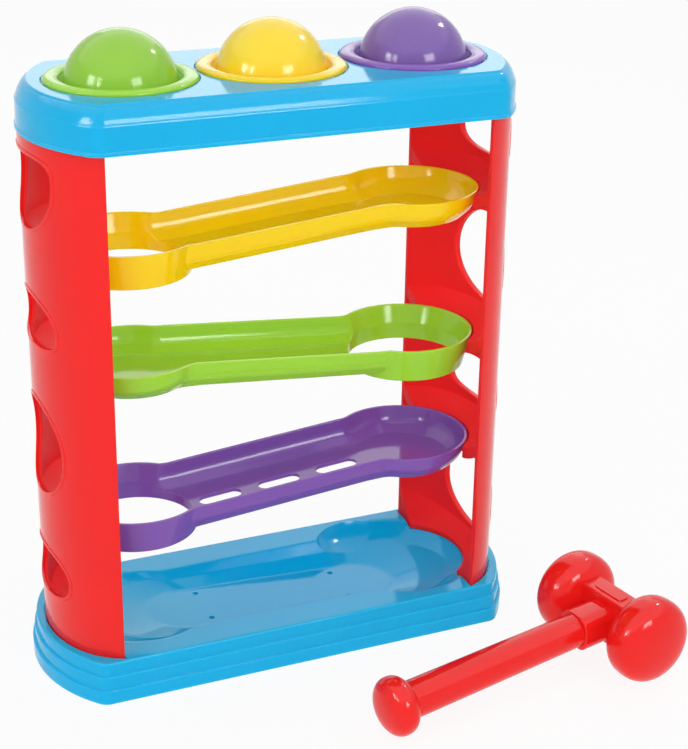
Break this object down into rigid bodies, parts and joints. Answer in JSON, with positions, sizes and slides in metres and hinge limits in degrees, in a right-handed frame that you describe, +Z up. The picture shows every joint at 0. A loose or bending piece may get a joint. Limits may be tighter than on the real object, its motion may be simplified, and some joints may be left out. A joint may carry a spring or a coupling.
{
  "type": "ball pounding bench",
  "caption": "Toy tower with stacked sloping ramps between two side panels, balls held in collars on top to be pounded through with a hammer, and a landing tray in the base.",
  "frame": {"origin": "middle of the bench on the floor, under the crossing of the base's ribs", "axes": "+X along the bench to its right end, +Y to its back, +Z up; the hammer lies on the floor in front of the right end"},
  "size_m": [0.3413, 0.2193, 0.3612],
  "materials": {
    "red_plastic": "glossy moulded plastic",
    "sky_blue_plastic": "glossy moulded plastic",
    "yellow_plastic": "glossy moulded plastic",
    "green_plastic": "glossy moulded plastic",
    "purple_plastic": "glossy moulded plastic"
  },
  "bodies": {
    "bench": {"base": "sky_blue_plastic", "left_side_panel": "red_plastic", "right_side_panel": "red_plastic", "top_deck": "sky_blue_plastic", "collar_left": "green_plastic", "collar_centre": "yellow_plastic", "collar_right": "purple_plastic", "ramp_top": "yellow_plastic", "ramp_middle": "green_plastic", "ramp_bottom": "purple_plastic"},
    "left_ball": {"ball_left": "green_plastic"},
    "centre_ball": {"ball_centre": "yellow_plastic"},
    "right_ball": {"ball_right": "purple_plastic"},
    "hammer": {"hammer_head": "red_plastic", "hammer_handle": "red_plastic"}
  },
  "joints": [
    {"name": "left_ball_drop", "type": "slide", "parent": "bench", "child": "left_ball", "axis": [0, 0, 1], "range_m": [-0.1304, 0.062]},
    {"name": "centre_ball_drop", "type": "slide", "parent": "bench", "child": "centre_ball", "axis": [0, 0, 1], "range_m": [-0.0582, 0.062]},
    {"name": "right_ball_drop", "type": "slide", "parent": "bench", "child": "right_ball", "axis": [0, 0, 1], "range_m": [-0.0534, 0.062]},
    {"name": "hammer_lift", "type": "slide", "parent": "bench", "child": "hammer", "axis": [0, 0, 1], "range_m": [0, 0.4]}
  ]
}
